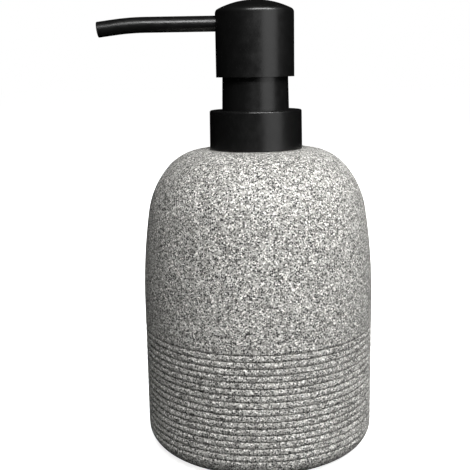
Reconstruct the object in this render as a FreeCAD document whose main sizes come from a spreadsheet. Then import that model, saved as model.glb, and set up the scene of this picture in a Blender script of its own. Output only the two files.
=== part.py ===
# Soap pump dispenser: a cast bottle with a ribbed lower half, and a lotion pump with a long side spout.
# Millimetres, +Z up, origin at the centre of the underside. The spout points along -X.

import FreeCAD
import Part
import Sketcher
import PartDesign
import math
import os
import re

# Driving sizes. Heights are above the floor unless the name says otherwise; "gap" is a named clearance.
sizes = {
    # bottle
    "bottleHeight": 111.7, "bodyRadius": 42.6, "wall": 4.0, "floorWall": 6.0, "footRadius": 8.0,
    "shoulderDrop": 55.7, "sideArc": 216.0, "sideTurn": 9.0, "shoulderArc": 31.0, "shoulderTurn": 33.5,
    "throatDepth": 10.0, "throatWall": 4.0,
    "ribPitch": 2.38, "ribCount": 17, "ribLowest": 8.1, "grooveWidth": 0.9, "grooveDepth": 0.6,
    "cutSpare": 1.0,
    # foot
    "padRadius": 30.8, "padThickness": 1.6, "padProud": 0.6, "padGap": 0.2,
    "plugRadius": 26.0, "plugLedge": 1.6, "plugFlange": 1.5, "glueGap": 0.05,
    # neck bush, 28 mm neck finish
    "neckRoot": 12.55, "neckWall": 2.35, "neckFinish": 9.0, "threadPitch": 4.2333, "threadHeight": 1.2,
    "threadBase": 2.2, "threadCrest": 1.0, "threadSunk": 0.3, "neckTurns": 1.4, "threadStart": 1.6,
    "bushFlange": 1.2, "bushLedge": 1.9, "bushDepth": 9.2, "bushGap": 0.2,
    "ringHeight": 2.6, "ringDepth": 1.3, "ringDrop": 3.6, "ringLip": 0.5, "ringLipRise": 0.4, "sealGap": 0.05,
    # collar
    "threadGap": 0.2, "capWall": 1.6, "capPlate": 0.7, "capTurns": 1.0, "skirtGap": 0.6,
    "coverGap": 0.2, "coverWall": 1.3, "coverDraft": 0.15, "coverPlate": 0.7, "coverFillet": 0.6,
    "bushClear": 0.3, "collarHoleGap": 0.25, "collarGap": 0.1,
    # pump body
    "gasketThickness": 1.0, "flangeClear": 0.75, "housingFlange": 0.7, "sleeveFlange": 0.7,
    "barrelBore": 6.8, "barrelWall": 1.0, "barrelLength": 34.1,
    "chamberRoom": 1.3, "chamberDepth": 7.8, "seatHole": 2.2, "seatAngle": 33.0, "seatThickness": 0.8,
    "socketWall": 1.45, "socketLength": 8.2, "socketShoulder": 1.8, "barrelShoulder": 4.6, "tubeGap": 0.05,
    "tubeRadius": 3.5, "tubeWall": 1.2, "tubeFloorGap": 3.0,
    "inletBallRadius": 3.1, "outletBallRadius": 2.45, "ballGap": 0.03,
    "cagePlate": 1.2, "cageHole": 1.2, "cagePortRadius": 0.8, "cagePortCircle": 2.75, "cagePortCount": 5,
    "spigotGap": 0.25, "spigotWall": 0.6, "spigotHeight": 1.6,
    # sleeve
    "flangeLip": 1.0, "sleeveDraft": 0.35, "sleeveWall": 1.8, "sleeveLength": 16.6, "sleeveFloor": 1.2,
    "guideWall": 2.14, "guideHeight": 4.2, "guidePlug": 1.7,
    # plunger
    "stemRadius": 4.0, "stemWall": 1.8, "stemGap": 0.06, "stemDrop": 1.8,
    "valveRoom": 0.45, "valveHole": 1.6, "valveNeck": 1.0, "valveDepth": 5.7,
    "pistonHeight": 4.9, "pistonWaist": 0.7, "lipHeight": 0.9, "lipBevel": 0.3, "pistonGap": 0.05,
    "pistonRest": 0.9,
    "retainerRoom": 0.6, "retainerFlange": 1.2, "retainerPlug": 5.0, "retainerBore": 1.2,
    "wireRadius": 0.45, "springRoom": 1.6, "springTurns": 8, "springGap": 0.02,
    # head
    "headGap": 11.75, "headStroke": 11.2, "headClear": 0.3, "headWall": 1.65, "domeRise": 4.5,
    "domeRadius": 29.6, "domeEdge": 1.7, "domeWall": 1.8,
    "hubWall": 2.14, "hubTopGap": 3.0, "hubClear": 1.2, "discThickness": 1.4, "discGap": 0.35,
    "socketEndGap": 0.1, "channelLength": 5.4, "channelWidth": 2.0, "bossWall": 0.65, "bossInset": 1.5,
    # spout
    "spoutRise": 4.05, "spoutRadius": 2.8, "spoutWall": 1.2, "spoutInset": 4.6, "spoutGap": 0.05,
    "spoutStraight": 39.0, "spoutBend": 90.0, "spoutTurn": 7.0, "spoutEnd": 6.4, "spoutRound": 0.35,
}

doc = FreeCAD.newDocument("SoapPumpDispenser")
sheet = doc.addObject("Spreadsheet::Sheet", "Size")
for row, (name, value) in enumerate(sizes.items(), start=1):
    sheet.set(f"A{row}", name)
    sheet.set(f"B{row}", str(value))
    sheet.setAlias(f"B{row}", name)
gauge = doc.addObject("App::FeaturePython", "Gauge")
gauge.addProperty("App::PropertyFloat", "Reading")
doc.recompute()


def bound(text):
    """A formula in plain size names, as an expression on the sheet's cells."""
    return re.sub(r"[A-Za-z]+", lambda word: f"Size.{word[0]}" if word[0] in sizes else word[0], text)


def number(text):
    """The value that a formula of size names has now."""
    gauge.setExpression("Reading", bound(text))
    gauge.recompute()
    return gauge.Reading


# Radii that pieces share. The closure's all follow from the neck's root, by named walls and gaps.
capRoot = "(neckRoot + threadHeight + threadGap)"
capRadius = f"({capRoot} + capWall)"
coverBore = f"({capRadius} + glueGap)"
coverFoot = f"({coverBore} + coverWall)"
bushBore = "(neckRoot - neckWall)"
bushFlangeRadius = f"({coverBore} - bushClear)"
mouthRadius = f"({bushFlangeRadius} - bushLedge)"
flangeRadius = f"({capRoot} - flangeClear)"
sleeveRadius = f"({flangeRadius} - flangeLip)"
sleeveBore = f"({sleeveRadius} - sleeveWall)"
collarHole = f"({sleeveRadius} + collarHoleGap)"
headBore = f"({sleeveRadius} + headClear)"
headRadius = f"({headBore} + headWall)"
guideBore = "(stemRadius + stemGap)"
stemBore = "(stemRadius - stemWall)"
barrelRim = "(barrelBore - glueGap)"
springRadius = "(barrelBore - springRoom)"
chamberRadius = "(inletBallRadius + chamberRoom)"
valveBore = "(outletBallRadius + valveRoom)"
socketBore = "(tubeRadius + tubeGap)"
spoutHole = "(spoutRadius + spoutGap)"
spoutBore = "(spoutRadius - spoutWall)"

# Heights that pieces share, each worked out once from the driving sizes.
footHeight = "padProud"
sideTop = "(bottleHeight - shoulderDrop)"
recessTop = "padThickness"
floorHeight = "(padProud + floorWall)"
bushFlangeTop = "(bottleHeight + bushFlange)"
neckTop = f"({bushFlangeTop} + neckFinish)"
gasketTop = f"({neckTop} + gasketThickness)"
housingTop = f"({gasketTop} + housingFlange)"
sleeveFlangeTop = f"({housingTop} + sleeveFlange)"
capUnderside = f"({sleeveFlangeTop} + collarGap)"
capTop = f"({capUnderside} + capPlate)"
collarTop = f"({capTop} + coverPlate)"
skirtBottom = f"({bushFlangeTop} + skirtGap)"
cageBottom = f"({housingTop} - barrelLength)"
cageTop = f"({cageBottom} + cagePlate)"
chamberBottom = f"({cageBottom} - chamberDepth)"
seatBottom = f"({chamberBottom} + seatThickness)"
socketBottom = f"({chamberBottom} - socketLength)"
sleeveTop = f"({sleeveFlangeTop} + sleeveLength)"
guideTop = f"({sleeveFlangeTop} + guideHeight)"
guideBottom = f"({housingTop} - guidePlug)"
pistonTop = f"({guideBottom} - pistonRest)"
pistonBottom = f"({pistonTop} - pistonHeight)"
retainerBottom = f"({pistonBottom} - retainerFlange)"
headBottom = f"({collarTop} + headGap)"
discBottom = f"({sleeveTop} + headStroke + discGap)"
spoutHeight = f"({discBottom} + spoutRise)"
stemTop = f"({discBottom} - stemDrop)"
valveSeat = f"({stemTop} - valveDepth)"
hubBottom = f"({guideTop} + headStroke + hubClear)"
hubTop = f"({spoutHeight} + hubTopGap)"
domeSpring = f"({spoutHeight} + domeRise)"
domeCentre = f"({domeSpring} - sqrt(domeRadius * domeRadius - {headRadius} * {headRadius}))"
coneRise = f"({chamberRadius} - seatHole) / tan(seatAngle * 1deg)"
valveRise = f"({valveBore} - valveHole) / tan(seatAngle * 1deg)"


def newBody(label):
    body = doc.addObject("PartDesign::Body", label)
    body.Label = label
    return body


def newSketch(body, name, role="XZ_Plane", offset=None):
    """A sketch on one of the body's own origin planes, or parallel to it at an offset along its normal."""
    plane = next(feature for feature in body.Origin.OriginFeatures if feature.Role == role)
    sketch = body.newObject("Sketcher::SketchObject", name)
    sketch.AttachmentSupport = (plane, [""])
    sketch.MapMode = "FlatFace"
    if offset is not None:
        sketch.setExpression("AttachmentOffset.Base.z", bound(offset))
    return sketch


def pin(sketch, geometry, end, across, up):
    """Hold one end of a line or arc, or a circle's centre, at a place given by two formulas."""
    for kind, text, axis in (("DistanceX", across, -2), ("DistanceY", up, -1)):
        if abs(number(text)) < 1e-9:
            sketch.addConstraint(Sketcher.Constraint("PointOnObject", geometry, end, axis))
        else:
            index = sketch.addConstraint(Sketcher.Constraint(kind, geometry, end, number(text)))
            sketch.setExpression(f"Constraints[{index}]", bound(text))


def addOutline(sketch, corners):
    """A closed outline of straight lines; each corner is a pair of formulas, across and up."""
    points = [FreeCAD.Vector(number(across), number(up), 0) for across, up in corners]
    first = sketch.GeometryCount
    for index, point in enumerate(points):
        sketch.addGeometry(Part.LineSegment(point, points[(index + 1) % len(points)]), False)
    for index, (across, up) in enumerate(corners):
        following = first + (index + 1) % len(corners)
        sketch.addConstraint(Sketcher.Constraint("Coincident", first + index, 2, following, 1))
        pin(sketch, first + index, 1, across, up)


def addCircle(sketch, across, up, radius):
    centre = FreeCAD.Vector(number(across), number(up), 0)
    geometry = sketch.addGeometry(Part.Circle(centre, FreeCAD.Vector(0, 0, 1), number(radius)), False)
    pin(sketch, geometry, 3, across, up)
    index = sketch.addConstraint(Sketcher.Constraint("Radius", geometry, number(radius)))
    sketch.setExpression(f"Constraints[{index}]", bound(radius))


def revolve(body, sketch, kind="PartDesign::Revolution"):
    feature = body.newObject(kind, f"{body.Label}_{kind.split('::')[1]}")
    feature.Profile = sketch
    feature.ReferenceAxis = (sketch, ["V_Axis"])
    feature.Angle = 360
    sketch.Visibility = False
    doc.recompute()
    return feature


def turned(label, corners):
    """A body turned about Z from an outline of (radius, height) formulas."""
    body = newBody(label)
    sketch = newSketch(body, f"{label}_section")
    addOutline(sketch, corners)
    revolve(body, sketch)
    return body


def cutThrough(body, sketch, name, length):
    """A pocket to both sides of its sketch, which has to take material away."""
    before = body.Shape.Volume
    pocket = body.newObject("PartDesign::Pocket", name)
    pocket.Profile = sketch
    pocket.Midplane = True
    pocket.setExpression("Length", bound(length))
    doc.recompute()
    if not body.Shape.Volume < before - 1e-3:
        raise ValueError(f"{name} cuts nothing")
    return pocket


def addHelix(body, name, corners, pitch, height):
    """A thread ridge of the given section, wound right-handed about Z."""
    before = body.Shape.Volume
    sketch = newSketch(body, f"{name}_section")
    addOutline(sketch, corners)
    ridge = body.newObject("PartDesign::AdditiveHelix", name)
    ridge.Profile = sketch
    ridge.ReferenceAxis = (sketch, ["V_Axis"])
    ridge.Mode = 0
    ridge.setExpression("Pitch", bound(pitch))
    ridge.setExpression("Height", bound(height))
    doc.recompute()
    if not body.Shape.Volume > before + 1:
        raise ValueError(f"{name} adds nothing")
    return ridge


def ringEdges(shape, radius, height):
    """Names of the full circles about Z that have this radius and height."""
    names = []
    for index, edge in enumerate(shape.Edges, start=1):
        if edge.Degenerated or not isinstance(edge.Curve, Part.Circle):
            continue
        curve = edge.Curve
        if abs(curve.Radius - radius) < 1e-3 and abs(curve.Center.z - height) < 1e-3:
            names.append(f"Edge{index}")
    return names


def dress(body, kind, radius, height, size, name):
    """Round (Fillet) or bevel (Chamfer) one circular edge about Z."""
    base = body.Tip
    names = ringEdges(body.Shape, number(radius), number(height))
    if not names:
        raise ValueError(f"{name} finds no edge")
    feature = body.newObject(f"PartDesign::{kind}", name)
    feature.Base = (base, names)
    feature.setExpression("Radius" if kind == "Fillet" else "Size", bound(size))
    doc.recompute()
    return feature


# Bottle

def arcAt(centre, radius, start, end):
    """An arc in the sketch plane; angles in radians, counted from the outward direction."""
    circle = Part.Circle(FreeCAD.Vector(*centre, 0), FreeCAD.Vector(0, 0, 1), radius)
    return Part.ArcOfCircle(circle, start, end)


def addFlank(sketch, inset, topHeight, footArc, bottomHeight):
    """The bottle's flank: foot round, upright side, then three arcs that meet smoothly and end level.
    inset moves the whole flank inwards by that distance, as the inside of the wall does."""
    radius = number(f"bodyRadius - {inset}")
    foot = number(footArc)
    bottom = number(bottomHeight)
    start = number(sideTop)
    top = number(topHeight)
    sideArc = number(f"sideArc - {inset}")
    shoulderArc = number(f"shoulderArc - {inset}")
    turnOne = math.radians(number("sideTurn"))
    turnTwo = turnOne + math.radians(number("shoulderTurn"))
    sideCentre = (radius - sideArc, start)
    shoulderCentre = (sideCentre[0] + (sideArc - shoulderArc) * math.cos(turnOne),
                      start + (sideArc - shoulderArc) * math.sin(turnOne))
    crownStart = (shoulderCentre[0] + shoulderArc * math.cos(turnTwo),
                  shoulderCentre[1] + shoulderArc * math.sin(turnTwo))
    crownArc = (top - crownStart[1]) / (1 - math.sin(turnTwo))
    crownCentre = (crownStart[0] - crownArc * math.cos(turnTwo), top - crownArc)

    edges = [arcAt((radius - foot, bottom + foot), foot, -math.pi / 2, 0),
             Part.LineSegment(FreeCAD.Vector(radius, bottom + foot, 0), FreeCAD.Vector(radius, start, 0)),
             arcAt(sideCentre, sideArc, 0, turnOne),
             arcAt(shoulderCentre, shoulderArc, turnOne, turnTwo),
             arcAt(crownCentre, crownArc, turnTwo, math.pi / 2)]
    first = sketch.GeometryCount
    for edge in edges:
        sketch.addGeometry(edge, False)
    for index in range(first, first + 4):
        sketch.addConstraint(Sketcher.Constraint("Tangent", index, 2, index + 1, 1))
    for arc, text in ((0, footArc), (2, f"sideArc - {inset}"), (3, f"shoulderArc - {inset}")):
        index = sketch.addConstraint(Sketcher.Constraint("Radius", first + arc, number(text)))
        sketch.setExpression(f"Constraints[{index}]", bound(text))
    for arc, text in ((2, "sideTurn"), (3, "shoulderTurn")):
        index = sketch.addConstraint(Sketcher.Constraint("Angle", first + arc, math.radians(number(text))))
        sketch.setExpression(f"Constraints[{index}]", bound(f"{text} * 1deg"))
    sketch.addConstraint(Sketcher.Constraint("Vertical", first + 1))
    pin(sketch, first + 1, 2, f"bodyRadius - {inset}", sideTop)
    # the crown ends level, straight above its own centre
    sketch.addConstraint(Sketcher.Constraint("Vertical", first + 4, 3, first + 4, 2))
    for geometry, end, text in ((first, 1, bottomHeight), (first + 4, 2, topHeight)):
        index = sketch.addConstraint(Sketcher.Constraint("DistanceY", geometry, end, number(text)))
        sketch.setExpression(f"Constraints[{index}]", bound(text))
    landOutside = FreeCAD.Vector(radius - foot, bottom, 0)
    crownEnd = FreeCAD.Vector(crownCentre[0], top, 0)
    return first, first + 4, landOutside, crownEnd


def closeFlank(sketch, flank, corners):
    """Straight lines from the crown's end round to the start of the foot round."""
    firstEdge, lastEdge, landOutside, crownEnd = flank
    inner = [FreeCAD.Vector(number(across), number(up), 0) for across, up in corners]
    points = [crownEnd] + inner + [landOutside]
    first = sketch.GeometryCount
    for one, other in zip(points, points[1:]):
        sketch.addGeometry(Part.LineSegment(one, other), False)
    last = sketch.GeometryCount - 1
    sketch.addConstraint(Sketcher.Constraint("Coincident", lastEdge, 2, first, 1))
    sketch.addConstraint(Sketcher.Constraint("Coincident", last, 2, firstEdge, 1))
    for index, (across, up) in enumerate(corners):
        sketch.addConstraint(Sketcher.Constraint("Coincident", first + index, 2, first + index + 1, 1))
        pin(sketch, first + index, 2, across, up)


def makeBottle():
    """Outer form turned, cavity cut out of it, throat put in and bored, then the row of rib grooves."""
    body = newBody("bottle_body")
    section = newSketch(body, "bottle_section")
    flank = addFlank(section, "0", "bottleHeight", "footRadius", footHeight)
    closeFlank(section, flank, [("0", "bottleHeight"), ("0", footHeight)])
    revolve(body, section)

    cavity = newSketch(body, "cavity_section")
    cavityTop = "(bottleHeight - wall)"
    flank = addFlank(cavity, "wall", cavityTop, "(footRadius - wall)", floorHeight)
    closeFlank(cavity, flank, [("0", cavityTop), ("0", floorHeight)])
    before = body.Shape.Volume
    revolve(body, cavity, "PartDesign::Groove")

    throat = newSketch(body, "throat_section")
    throatBottom = "(bottleHeight - throatDepth)"
    throatRadius = f"({mouthRadius} + throatWall)"
    addOutline(throat, [("0", throatBottom), (throatRadius, throatBottom),
                        (throatRadius, "bottleHeight - wall / 2"), ("0", "bottleHeight - wall / 2")])
    revolve(body, throat)

    bores = newSketch(body, "bore_section")
    ledge = "(plugRadius + plugLedge + glueGap)"
    ledgeTop = f"({recessTop} + plugFlange)"
    boreTop = f"({floorHeight} + cutSpare)"
    addOutline(bores, [("0", footHeight), ("padRadius + padGap", footHeight),
                       ("padRadius + padGap", recessTop), (ledge, recessTop), (ledge, ledgeTop),
                       ("plugRadius + glueGap", ledgeTop), ("plugRadius + glueGap", boreTop), ("0", boreTop)])
    revolve(body, bores, "PartDesign::Groove")
    mouth = newSketch(body, "mouth_section")
    mouthLow = f"({throatBottom} - cutSpare)"
    mouthHigh = "(bottleHeight + cutSpare)"
    addOutline(mouth, [("0", mouthLow), (mouthRadius, mouthLow), (mouthRadius, mouthHigh), ("0", mouthHigh)])
    revolve(body, mouth, "PartDesign::Groove")
    if not body.Shape.Volume < before / 2:
        raise ValueError("the bottle is not hollow")

    notch = newSketch(body, "rib_groove_section")
    notchLow = "(ribLowest - grooveWidth / 2)"
    notchHigh = "(ribLowest + grooveWidth / 2)"
    addOutline(notch, [("bodyRadius + cutSpare", notchLow), ("bodyRadius", notchLow),
                       ("bodyRadius - grooveDepth", "ribLowest"),
                       ("bodyRadius", notchHigh), ("bodyRadius + cutSpare", notchHigh)])
    before = body.Shape.Volume
    groove = revolve(body, notch, "PartDesign::Groove")
    pattern = body.newObject("PartDesign::LinearPattern", "rib_grooves")
    pattern.Originals = [groove]
    pattern.Direction = (notch, ["V_Axis"])
    pattern.setExpression("Length", bound("ribPitch * (ribCount - 1)"))
    pattern.setExpression("Occurrences", bound("ribCount"))
    body.Tip = pattern
    doc.recompute()
    oneGroove = math.pi * number("bodyRadius * grooveWidth * grooveDepth")
    if not body.Shape.Volume < before - 0.9 * oneGroove * number("ribCount"):
        raise ValueError("rib grooves are missing")
    return body


def makeFoot():
    """The disc that closes the casting's core hole, and the pad let into the foot."""
    disc = turned("base_disc", [("0", recessTop), ("plugRadius + plugLedge", recessTop),
                                ("plugRadius + plugLedge", f"{recessTop} + plugFlange"),
                                ("plugRadius", f"{recessTop} + plugFlange"),
                                ("plugRadius", floorHeight), ("0", floorHeight)])
    pad = turned("base_pad", [("0", "0"), ("padRadius", "0"),
                              ("padRadius", "padThickness"), ("0", "padThickness")])
    return [disc, pad]


# Neck

def threadSection(root, height, inwards=False):
    """Trapezium on a wall of the given radius, its foot sunk a little into the wall."""
    foot = f"{root} + threadSunk" if inwards else f"{root} - threadSunk"
    crest = f"{root} - threadHeight" if inwards else f"{root} + threadHeight"
    return [(foot, f"{height} - threadBase / 2"), (root, f"{height} - threadBase / 2"),
            (crest, f"{height} - threadCrest / 2"), (crest, f"{height} + threadCrest / 2"),
            (root, f"{height} + threadBase / 2"), (foot, f"{height} + threadBase / 2")]


def makeNeck():
    """Bush with a flange on the bottle's top, a plug in its throat and the thread above; and its ring."""
    plug = f"({mouthRadius} - bushGap)"
    grooveTop = "(bottleHeight - ringDrop)"
    grooveBottom = f"({grooveTop} - ringHeight)"
    bush = turned("neck_bush", [
        (bushBore, "bottleHeight - bushDepth"), (plug, "bottleHeight - bushDepth"),
        (plug, grooveBottom), (f"{plug} - ringDepth", grooveBottom),
        (f"{plug} - ringDepth", grooveTop), (plug, grooveTop),
        (plug, "bottleHeight"), (bushFlangeRadius, "bottleHeight"), (bushFlangeRadius, bushFlangeTop),
        ("neckRoot", bushFlangeTop), ("neckRoot", neckTop), (bushBore, neckTop)])
    addHelix(bush, "neck_thread", threadSection("neckRoot", f"({bushFlangeTop} + threadStart)"),
             "threadPitch", "threadPitch * neckTurns")

    inside = f"({plug} - ringDepth + glueGap)"
    outside = f"({mouthRadius} - sealGap)"
    valley = f"({outside} - ringLip)"
    low = f"({grooveBottom} + glueGap)"
    high = f"({grooveTop} - glueGap)"
    ring = turned("neck_seal_ring", [
        (inside, low), (valley, low), (outside, f"{low} + ringLipRise"), (valley, f"{low} + 2 * ringLipRise"),
        (valley, f"{high} - 2 * ringLipRise"), (outside, f"{high} - ringLipRise"), (valley, high),
        (inside, high)])
    return [bush, ring]


# Collar

def makeCollar():
    """Threaded cap that clamps the pump on the neck, and the smooth cover pressed over it."""
    cap = turned("screw_cap", [
        (capRoot, skirtBottom), (capRadius, skirtBottom), (capRadius, capTop),
        (collarHole, capTop), (collarHole, capUnderside), (capRoot, capUnderside)])
    # the cap's ridge runs midway between two turns of the neck's
    addHelix(cap, "cap_thread",
             threadSection(capRoot, f"({bushFlangeTop} + threadStart + threadPitch / 2)", inwards=True),
             "threadPitch", "threadPitch * capTurns")

    coverBottom = "(bottleHeight + coverGap)"
    coverTop = f"({coverFoot} - coverDraft)"
    cover = turned("collar_cover", [
        (coverBore, coverBottom), (coverFoot, coverBottom), (coverTop, collarTop),
        (collarHole, collarTop), (collarHole, capTop), (coverBore, capTop)])
    dress(cover, "Fillet", coverTop, collarTop, "coverFillet", "cover_round")
    return [cap, cover]


# Pump body

def makeHousing():
    """Flange, barrel, ball chamber with its conical seat, and the socket for the dip tube."""
    barrel = "(barrelBore + barrelWall)"
    socket = f"({socketBore} + socketWall)"
    return turned("pump_housing", [
        (flangeRadius, gasketTop), (flangeRadius, housingTop), ("barrelBore", housingTop),
        ("barrelBore", cageBottom), (chamberRadius, cageBottom),
        (chamberRadius, f"{seatBottom} + {coneRise}"), ("seatHole", seatBottom), ("seatHole", chamberBottom),
        (socketBore, chamberBottom), (socketBore, socketBottom), (socket, socketBottom),
        (socket, f"{chamberBottom} + socketShoulder"), (barrel, f"{chamberBottom} + barrelShoulder"),
        (barrel, gasketTop)])


def makeGasket():
    return turned("bottle_gasket", [(bushBore, neckTop), (flangeRadius, neckTop),
                                    (flangeRadius, gasketTop), (bushBore, gasketTop)])


def makeCage():
    """Perforated disc over the ball chamber, with a spigot that centres the spring."""
    spigot = f"({springRadius} - wireRadius - spigotGap)"
    spigotBore = f"({spigot} - spigotWall)"
    spigotTop = f"({cageTop} + spigotHeight)"
    cage = turned("ball_cage", [
        ("cageHole", cageBottom), (barrelRim, cageBottom), (barrelRim, cageTop), (spigot, cageTop),
        (spigot, spigotTop), (spigotBore, spigotTop), (spigotBore, cageTop), ("cageHole", cageTop)])
    port = newSketch(cage, "cage_port", "XY_Plane", cageBottom)
    addCircle(port, "cagePortCircle", "0", "cagePortRadius")
    pocket = cutThrough(cage, port, "cage_port_cut", "4 * cagePlate")
    pattern = cage.newObject("PartDesign::PolarPattern", "cage_ports")
    pattern.Originals = [pocket]
    pattern.Axis = (port, ["N_Axis"])
    pattern.Angle = 360
    pattern.setExpression("Occurrences", bound("cagePortCount"))
    cage.Tip = pattern
    doc.recompute()
    return cage


def makeDipTube():
    """Straight tube from the housing's socket to just above the floor, its end cut slanting."""
    bottom = f"({floorHeight} + tubeFloorGap)"
    top = f"({chamberBottom} - tubeGap)"
    bore = "(tubeRadius - tubeWall)"
    tube = turned("dip_tube", [(bore, bottom), ("tubeRadius", bottom), ("tubeRadius", top), (bore, top)])
    slant = newSketch(tube, "dip_tube_slant")
    left = "(-tubeRadius - cutSpare)"
    right = "(tubeRadius + cutSpare)"
    addOutline(slant, [(left, f"{bottom} - cutSpare"), (right, f"{bottom} - cutSpare"), (right, bottom),
                       (left, f"{bottom} + 2 * tubeRadius")])
    cutThrough(tube, slant, "dip_tube_end", "4 * tubeRadius")
    return tube


def makeBall(label, radius, seat, hole):
    """A ball resting in a conical seat, a hair clear of the cone."""
    ball = doc.addObject("Part::Sphere", label)
    ball.Label = label
    ball.setExpression("Radius", bound(radius))
    rise = f"({radius} + ballGap - {hole} * cos(seatAngle * 1deg)) / sin(seatAngle * 1deg)"
    ball.setExpression("Placement.Base.z", bound(f"{seat} + {rise}"))
    return ball


def makeSpring():
    """Open coil between the ball cage and the piston retainer."""
    spring = newBody("return_spring")
    wire = newSketch(spring, "spring_wire")
    low = f"({cageTop} + wireRadius + springGap)"
    high = f"({retainerBottom} - wireRadius - springGap)"
    addCircle(wire, springRadius, low, "wireRadius")
    coil = spring.newObject("PartDesign::AdditiveHelix", "spring_coil")
    coil.Profile = wire
    coil.ReferenceAxis = (wire, ["V_Axis"])
    coil.Mode = 2
    coil.setExpression("Height", bound(f"{high} - {low}"))
    coil.setExpression("Turns", bound("springTurns"))
    doc.recompute()
    return spring


def makeSleeve():
    """Sleeve between collar and head, with the flange that the cap holds and the guide for the stem."""
    guideRadius = f"({guideBore} + guideWall)"
    floorTop = f"({housingTop} + sleeveFloor)"
    return turned("guide_sleeve", [
        (guideBore, guideBottom), (barrelRim, guideBottom), (barrelRim, housingTop),
        (flangeRadius, housingTop), (flangeRadius, sleeveFlangeTop), (sleeveRadius, sleeveFlangeTop),
        (f"{sleeveRadius} - sleeveDraft", sleeveTop), (sleeveBore, sleeveTop), (sleeveBore, floorTop),
        (guideRadius, floorTop), (guideRadius, guideTop), (guideBore, guideTop)])


# Plunger

def makeStem():
    """Hollow stem; its top holds the outlet valve's conical seat and ball chamber."""
    cone = f"({valveSeat} + {valveRise})"
    neckBottom = f"({valveSeat} - valveNeck)"
    return turned("stem", [
        (stemBore, pistonBottom), ("stemRadius", pistonBottom), ("stemRadius", stemTop),
        (valveBore, stemTop), (valveBore, cone), ("valveHole", valveSeat), ("valveHole", neckBottom),
        (stemBore, f"{neckBottom} - ({stemBore} - valveHole)")])


def makePiston():
    """Piston cup with an upper and a lower lip, and the push-in retainer that takes the spring."""
    bore = "(stemRadius + glueGap)"
    lip = "(barrelBore - pistonGap)"
    waist = "(barrelBore - pistonWaist)"
    cup = turned("piston_cup", [
        (bore, pistonBottom), (f"{lip} - lipBevel", pistonBottom),
        (lip, f"{pistonBottom} + lipHeight / 2"), (lip, f"{pistonBottom} + lipHeight"),
        (waist, f"{pistonBottom} + 2 * lipHeight"), (waist, f"{pistonTop} - 2 * lipHeight"),
        (lip, f"{pistonTop} - lipHeight"), (lip, f"{pistonTop} - lipHeight / 2"),
        (f"{lip} - lipBevel", pistonTop), (bore, pistonTop)])
    plug = f"({stemBore} - glueGap)"
    plugTop = f"({pistonBottom} + retainerPlug)"
    flange = "(barrelBore - retainerRoom)"
    retainer = turned("piston_retainer", [
        ("retainerBore", retainerBottom), (flange, retainerBottom), (flange, pistonBottom),
        (plug, pistonBottom), (plug, plugTop), ("retainerBore", plugTop)])
    return [cup, retainer]


# Head

def domeSection(sketch, radius, arc, corners):
    """A dome's arc from the axis down to its wall, closed by straight lines through the corners."""
    centre = (0, number(domeCentre))
    arcRadius = number(arc)
    reach = number(radius)
    start = math.acos(reach / arcRadius)
    sketch.addGeometry(arcAt(centre, arcRadius, start, math.pi / 2), False)
    wallTop = FreeCAD.Vector(reach, centre[1] + arcRadius * math.sin(start), 0)
    crown = FreeCAD.Vector(0, centre[1] + arcRadius, 0)
    inner = [FreeCAD.Vector(number(across), number(up), 0) for across, up in corners]
    points = [crown] + inner + [wallTop]
    for one, other in zip(points, points[1:]):
        sketch.addGeometry(Part.LineSegment(one, other), False)
    last = sketch.GeometryCount - 1
    sketch.addConstraint(Sketcher.Constraint("Coincident", 0, 2, 1, 1))
    sketch.addConstraint(Sketcher.Constraint("Coincident", last, 2, 0, 1))
    for index, (across, up) in enumerate(corners, start=1):
        sketch.addConstraint(Sketcher.Constraint("Coincident", index, 2, index + 1, 1))
        pin(sketch, index, 2, across, up)
    pin(sketch, 0, 3, "0", domeCentre)
    sketch.addConstraint(Sketcher.Constraint("PointOnObject", 0, 2, -2))
    index = sketch.addConstraint(Sketcher.Constraint("Radius", 0, arcRadius))
    sketch.setExpression(f"Constraints[{index}]", bound(arc))
    sketch.addConstraint(Sketcher.Constraint("Vertical", last))


def makeShell():
    """Domed cylinder, hollow from below, with the hole that the spout passes through."""
    shell = newBody("head_shell")
    outside = newSketch(shell, "shell_outside")
    domeSection(outside, headRadius, "domeRadius", [("0", headBottom), (headRadius, headBottom)])
    revolve(shell, outside)
    dress(shell, "Fillet", headRadius, domeSpring, "domeEdge", "dome_edge_round")
    inside = newSketch(shell, "shell_inside")
    below = f"({headBottom} - cutSpare)"
    domeSection(inside, headBore, "(domeRadius - domeWall)", [("0", below), (headBore, below)])
    before = shell.Shape.Volume
    revolve(shell, inside, "PartDesign::Groove")
    if not shell.Shape.Volume < 0.6 * before:
        raise ValueError("the head is not hollow")
    hole = newSketch(shell, "spout_hole", "YZ_Plane", f"-{headRadius}")
    addCircle(hole, "0", spoutHeight, spoutHole)
    cutThrough(shell, hole, "spout_hole_cut", headRadius)
    return shell


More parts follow.
